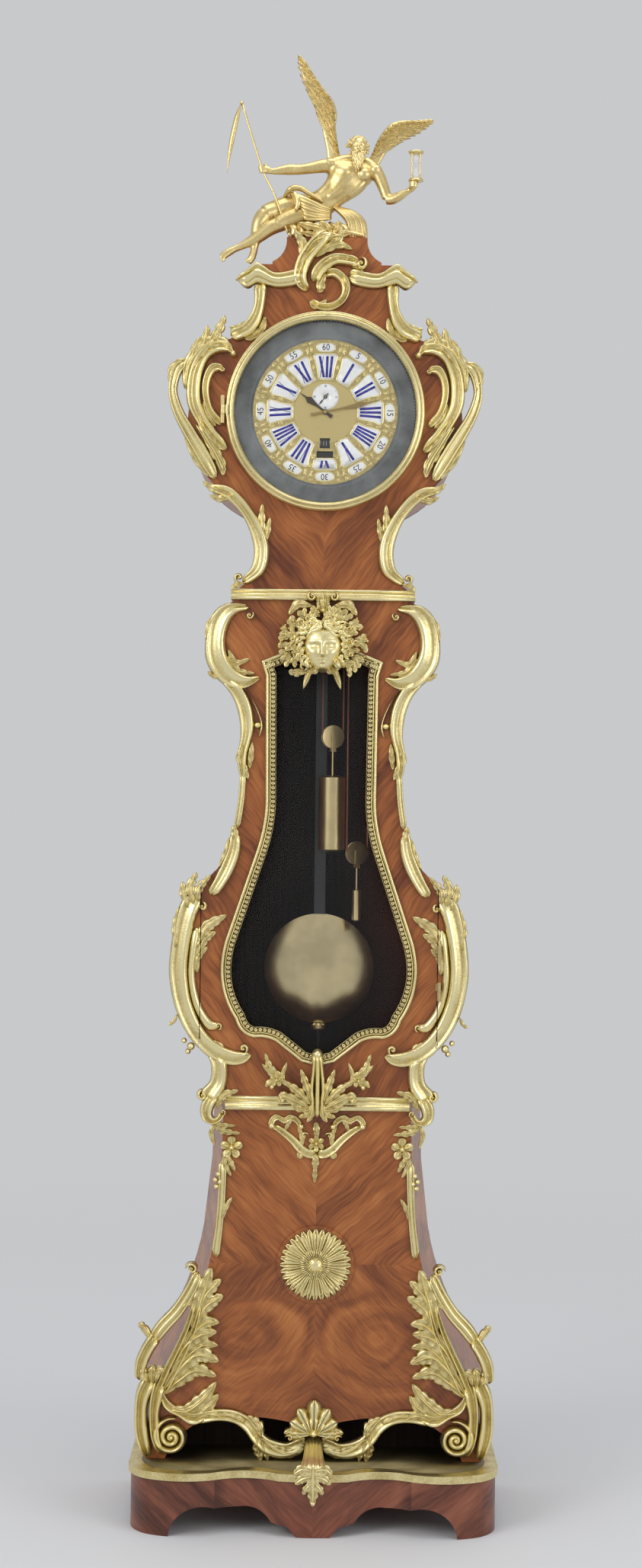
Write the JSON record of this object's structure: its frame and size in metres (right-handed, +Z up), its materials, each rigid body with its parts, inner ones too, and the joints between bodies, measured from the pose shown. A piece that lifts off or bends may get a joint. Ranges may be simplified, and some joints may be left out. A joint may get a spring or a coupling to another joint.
{
  "type": "longcase clock",
  "caption": "Tall veneered clock: serpentine plinth, pedestal, waisted glazed trunk, round-dialled hood, gilt rocaille mounts, reclining winged figure, movement, pendulum and weights.",
  "frame": {"origin": "centre of the base on the floor, under the middle of the whole clock's box", "axes": "+Z up, -Y towards the viewer out of the dial, +X to the viewer's right"},
  "size_m": [0.647, 0.3715, 2.602],
  "materials": {
    "gilt_bronze": "fire gilt, chased and burnished",
    "veneer": "polished cross-laid veneer",
    "carcase_oak": "plain dark stained",
    "brass": "polished",
    "steel": "polished",
    "dark_steel": "darkened, satin",
    "glass": "clear",
    "enamel": "glossy fired enamel",
    "gut": "twisted gut"
  },
  "bodies": {
    "case": {"apron_mount": "gilt_bronze", "backboard": "carcase_oak", "base_block": "carcase_oak", "bulge_scrolls": "gilt_bronze", "case_hinges": "brass", "corner_scrolls": "gilt_bronze", "counter_cord": "gut", "crest_mounts": "gilt_bronze", "crest_rocaille": "gilt_bronze", "cross_mouldings": "veneer", "dial_centre": "gilt_bronze", "dial_plate": "brass", "drive_cord": "gut", "enamel_plaques": "enamel", "foot_mounts": "gilt_bronze", "head_scrolls": "gilt_bronze", "hood_case": "veneer", "hourglass": "gilt_bronze", "movement_plates": "brass", "neck_scrolls": "gilt_bronze", "pedestal_case": "veneer", "pedestal_corner_mounts": "gilt_bronze", "pedestal_pendant": "gilt_bronze", "pendulum_cock": "brass", "plinth_frame": "veneer", "plinth_rim": "gilt_bronze", "rosette": "gilt_bronze", "scythe": "gilt_bronze", "seat_board": "carcase_oak", "time_figure": "gilt_bronze", "trunk_case": "veneer"},
    "door": {"door_panel": "veneer", "door_glass": "glass", "glass_frame": "gilt_bronze", "palmette_and_sprigs": "gilt_bronze", "waist_mounts": "gilt_bronze", "shoulder_scrolls": "gilt_bronze", "door_scroll_ends": "gilt_bronze", "mask_mount": "gilt_bronze", "door_hinge_leaves": "brass"},
    "bezel_door": {"bezel": "gilt_bronze", "bezel_glass": "glass"},
    "calendar": {"calendar_ring": "dark_steel"},
    "date": {"date_disc": "enamel"},
    "hour": {"hour_hand": "gilt_bronze"},
    "minute": {"minute_hand": "gilt_bronze", "centre_wheel": "brass"},
    "great": {"great_wheel": "brass"},
    "third": {"third_wheel": "brass"},
    "escape": {"escape_wheel": "brass", "seconds_hand": "gilt_bronze"},
    "winding": {"winding_sheave": "brass"},
    "pendulum": {"pendulum_rod": "steel", "pendulum_bob": "brass"},
    "pallets": {"anchor": "steel"},
    "regulation": {"rating_nut": "brass"},
    "drive": {"drive_weight": "brass"},
    "drive_wheel": {"drive_pulley": "brass"},
    "counter": {"counter_weight": "brass"},
    "counter_wheel": {"counter_pulley": "brass"}
  },
  "joints": [
    {"name": "door_hinge", "type": "hinge", "parent": "case", "child": "door", "pos_m": [0.211, -0.101, 1], "axis": [0, 0, 1], "range_deg": [0, 80]},
    {"name": "bezel_hinge", "type": "hinge", "parent": "case", "child": "bezel_door", "pos_m": [-0.18, -0.1051, 1.955], "axis": [0, 0, -1], "range_deg": [0, 90]},
    {"name": "minute_spin", "type": "hinge", "parent": "case", "child": "minute", "pos_m": [0, 0, 1.955], "axis": [0, 1, 0], "continuous": true},
    {"name": "hour_spin", "type": "hinge", "parent": "case", "child": "hour", "pos_m": [0, -0.06, 1.955], "axis": [0, 1, 0], "continuous": true},
    {"name": "great_spin", "type": "hinge", "parent": "case", "child": "great", "pos_m": [0.02475, 0, 1.907], "axis": [0, 1, 0], "continuous": true},
    {"name": "third_spin", "type": "hinge", "parent": "case", "child": "third", "pos_m": [-0.0226, 0, 1.96977], "axis": [0, 1, 0], "continuous": true},
    {"name": "escape_spin", "type": "hinge", "parent": "case", "child": "escape", "pos_m": [0, 0, 1.9817], "axis": [0, 1, 0], "continuous": true},
    {"name": "winding_spin", "type": "hinge", "parent": "case", "child": "winding", "pos_m": [0.06175, 0.002, 1.88], "axis": [0, 1, 0], "continuous": true},
    {"name": "calendar_spin", "type": "hinge", "parent": "case", "child": "calendar", "pos_m": [0, -0.082, 1.955], "axis": [0, 1, 0], "continuous": true},
    {"name": "date_spin", "type": "hinge", "parent": "case", "child": "date", "pos_m": [0, -0.0797, 1.955], "axis": [0, 1, 0], "continuous": true},
    {"name": "pendulum_swing", "type": "hinge", "parent": "case", "child": "pendulum", "pos_m": [0, 0.045, 2.013], "axis": [0, 1, 0], "range_deg": [-2.5, 2.5]},
    {"name": "pallet_rock", "type": "hinge", "parent": "case", "child": "pallets", "pos_m": [0, 0, 2.013], "axis": [0, 1, 0], "range_deg": [-2.5, 2.5]},
    {"name": "rating_turn", "type": "hinge", "parent": "pendulum", "child": "regulation", "pos_m": [0, 0.045, 0.8613], "axis": [0, 0, 1], "continuous": true},
    {"name": "drive_fall", "type": "slide", "parent": "case", "child": "drive", "axis": [0, 0, 1], "range_m": [-0.17, 0.17], "deforming": ["drive_cord"]},
    {"name": "counter_rise", "type": "slide", "parent": "case", "child": "counter", "axis": [0, 0, 1], "range_m": [-0.17, 0.17], "deforming": ["counter_cord"]},
    {"name": "drive_pulley_turn", "type": "hinge", "parent": "drive", "child": "drive_wheel", "pos_m": [0.0205, -0.005, 1.3846], "axis": [-0.3539, 0.9353, 0], "range_deg": [-500, 500]},
    {"name": "counter_pulley_turn", "type": "hinge", "parent": "counter", "child": "counter_wheel", "pos_m": [0.066, -0.005, 1.177], "axis": [-0.3539, 0.9353, 0], "range_deg": [-500, 500]}
  ],
  "couplings": [
    {"joint": "hour_spin", "follows": "minute_spin", "ratio": 0.083333},
    {"joint": "great_spin", "follows": "minute_spin", "ratio": -0.125},
    {"joint": "third_spin", "follows": "minute_spin", "ratio": -8},
    {"joint": "escape_spin", "follows": "minute_spin", "ratio": 60},
    {"joint": "pallet_rock", "follows": "pendulum_swing", "ratio": 1},
    {"joint": "counter_rise", "follows": "drive_fall", "ratio": -1},
    {"joint": "drive_pulley_turn", "follows": "drive_fall", "rad_per_m": 50.556},
    {"joint": "counter_pulley_turn", "follows": "drive_fall", "rad_per_m": -50.556}
  ]
}
